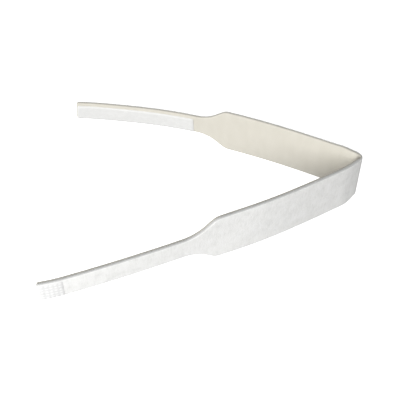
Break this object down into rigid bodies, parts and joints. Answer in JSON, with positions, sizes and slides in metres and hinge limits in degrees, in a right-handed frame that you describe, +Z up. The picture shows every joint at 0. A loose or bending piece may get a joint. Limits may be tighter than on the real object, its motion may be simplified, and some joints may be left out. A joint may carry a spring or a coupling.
{
  "type": "spa headband",
  "caption": "Flat soft-laminate headband folded at a crease, with a wide pad, two narrow tails and a hook-and-loop fastening at the tail ends.",
  "frame": {"origin": "middle of the band's box as it stands folded, on the surface it stands on (the pad's lower edge)", "axes": "+Z up, across the band's width; +X from the tails' tips towards the crease, along the V's longest extent; +Y from the front arm to the back arm"},
  "size_m": [0.3044, 0.2642, 0.055],
  "materials": {
    "cover_fabric": "brushed, soft white pile",
    "foam_core": "matt cut foam edge",
    "lining_fabric": "matt cream knitted lining",
    "loop_tape": "fine brushed loops",
    "hook_tape": "white moulded hooks"
  },
  "bodies": {
    "back_tail_end": {"back_tail_end_cover": "cover_fabric", "back_tail_end_foam": "foam_core", "back_tail_end_lining": "lining_fabric", "back_tail_end_loop_strip": "loop_tape"},
    "back_tail": {"back_tail_cover": "cover_fabric", "back_tail_foam": "foam_core", "back_tail_lining": "lining_fabric", "back_tail_loop_strip": "loop_tape"},
    "back_neck": {"back_neck_cover": "cover_fabric", "back_neck_foam": "foam_core", "back_neck_lining": "lining_fabric", "back_neck_loop_strip": "loop_tape"},
    "back_pad_outer": {"back_pad_outer_cover": "cover_fabric", "back_pad_outer_foam": "foam_core", "back_pad_outer_lining": "lining_fabric"},
    "back_pad_mid": {"back_pad_mid_cover": "cover_fabric", "back_pad_mid_foam": "foam_core", "back_pad_mid_lining": "lining_fabric"},
    "back_pad_inner": {"back_pad_inner_cover": "cover_fabric", "back_pad_inner_foam": "foam_core", "back_pad_inner_lining": "lining_fabric"},
    "crease_back": {"crease_back_cover": "cover_fabric", "crease_back_foam": "foam_core", "crease_back_lining": "lining_fabric"},
    "crease_front": {"crease_front_cover": "cover_fabric", "crease_front_foam": "foam_core", "crease_front_lining": "lining_fabric"},
    "front_pad_inner": {"front_pad_inner_cover": "cover_fabric", "front_pad_inner_foam": "foam_core", "front_pad_inner_lining": "lining_fabric"},
    "front_pad_mid": {"front_pad_mid_cover": "cover_fabric", "front_pad_mid_foam": "foam_core", "front_pad_mid_lining": "lining_fabric"},
    "front_pad_outer": {"front_pad_outer_cover": "cover_fabric", "front_pad_outer_foam": "foam_core", "front_pad_outer_lining": "lining_fabric"},
    "front_neck": {"front_neck_cover": "cover_fabric", "front_neck_foam": "foam_core", "front_neck_lining": "lining_fabric"},
    "front_tail": {"front_tail_cover": "cover_fabric", "front_tail_foam": "foam_core", "front_tail_lining": "lining_fabric"},
    "front_tail_end": {"front_tail_end_cover": "cover_fabric", "front_tail_end_foam": "foam_core", "front_tail_end_lining": "lining_fabric", "hook_tab": "hook_tape"}
  },
  "joints": [
    {"name": "back_wrap", "type": "hinge", "parent": "back_pad_inner", "child": "crease_back", "pos_m": [0.14476, 0.02698, 0], "axis": [0, 0, 1], "range_deg": [-6.2, 40.72], "stiffness_Nm_per_rad": 0.004},
    {"name": "back_mid_bend", "type": "hinge", "parent": "back_pad_inner", "child": "back_pad_mid", "pos_m": [0.11551, 0.04762, 0], "axis": [0, 0, 1], "range_deg": [-3.72, 23.3], "stiffness_Nm_per_rad": 0.004},
    {"name": "back_outer_bend", "type": "hinge", "parent": "back_pad_mid", "child": "back_pad_outer", "pos_m": [0.06481, 0.07367, 0], "axis": [0, 0, 1], "range_deg": [-4.6, 29.1], "stiffness_Nm_per_rad": 0.004},
    {"name": "back_neck_bend", "type": "hinge", "parent": "back_pad_outer", "child": "back_neck", "pos_m": [0.01242, 0.09613, 0], "axis": [0, 0, 1], "range_deg": [-4.39, 27.7], "stiffness_Nm_per_rad": 0.004},
    {"name": "back_tail_bend", "type": "hinge", "parent": "back_neck", "child": "back_tail", "pos_m": [-0.04185, 0.11355, 0], "axis": [0, 0, 1], "range_deg": [-5, 31.7], "stiffness_Nm_per_rad": 0.004},
    {"name": "back_end_bend", "type": "hinge", "parent": "back_tail", "child": "back_tail_end", "pos_m": [-0.09781, 0.12443, 0], "axis": [0, 0, 1], "range_deg": [-5.25, 33.4], "stiffness_Nm_per_rad": 0.004},
    {"name": "crease_unfold", "type": "hinge", "parent": "crease_back", "child": "crease_front", "pos_m": [0.15067, 0.01723, 0], "axis": [0, 0, -1], "range_deg": [-112, 0], "stiffness_Nm_per_rad": 0.004},
    {"name": "front_wrap", "type": "hinge", "parent": "crease_front", "child": "front_pad_inner", "pos_m": [0.14269, 0.00908, 0], "axis": [0, 0, 1], "range_deg": [-4.6, 30.43], "stiffness_Nm_per_rad": 0.004},
    {"name": "front_mid_bend", "type": "hinge", "parent": "front_pad_inner", "child": "front_pad_mid", "pos_m": [0.10119, -0.01715, 0], "axis": [0, 0, -1], "range_deg": [-4.81, 30.7], "stiffness_Nm_per_rad": 0.004},
    {"name": "front_outer_bend", "type": "hinge", "parent": "front_pad_mid", "child": "front_pad_outer", "pos_m": [0.05119, -0.04452, 0], "axis": [0, 0, -1], "range_deg": [-5.05, 32.3], "stiffness_Nm_per_rad": 0.004},
    {"name": "front_neck_bend", "type": "hinge", "parent": "front_pad_outer", "child": "front_neck", "pos_m": [-0.00068, -0.06816, 0], "axis": [0, 0, -1], "range_deg": [-5.75, 36.9], "stiffness_Nm_per_rad": 0.004},
    {"name": "front_tail_bend", "type": "hinge", "parent": "front_neck", "child": "front_tail", "pos_m": [-0.05267, -0.09153, 0], "axis": [0, 0, -1], "range_deg": [-5.7, 36.6], "stiffness_Nm_per_rad": 0.004},
    {"name": "front_end_bend", "type": "hinge", "parent": "front_tail", "child": "front_tail_end", "pos_m": [-0.10529, -0.11343, 0], "axis": [0, 0, -1], "range_deg": [-5.31, 34], "stiffness_Nm_per_rad": 0.004}
  ],
  "couplings": [
    {"joint": "back_mid_bend", "follows": "back_wrap", "ratio": 0.56729},
    {"joint": "back_outer_bend", "follows": "back_wrap", "ratio": 0.70972},
    {"joint": "back_neck_bend", "follows": "back_wrap", "ratio": 0.67534},
    {"joint": "back_tail_bend", "follows": "back_wrap", "ratio": 0.77358},
    {"joint": "back_end_bend", "follows": "back_wrap", "ratio": 0.81532},
    {"joint": "front_mid_bend", "follows": "front_wrap", "ratio": 1.0023},
    {"joint": "front_outer_bend", "follows": "front_wrap", "ratio": 1.0549},
    {"joint": "front_neck_bend", "follows": "front_wrap", "ratio": 1.2061},
    {"joint": "front_tail_bend", "follows": "front_wrap", "ratio": 1.1962},
    {"joint": "front_end_bend", "follows": "front_wrap", "ratio": 1.1107}
  ]
}
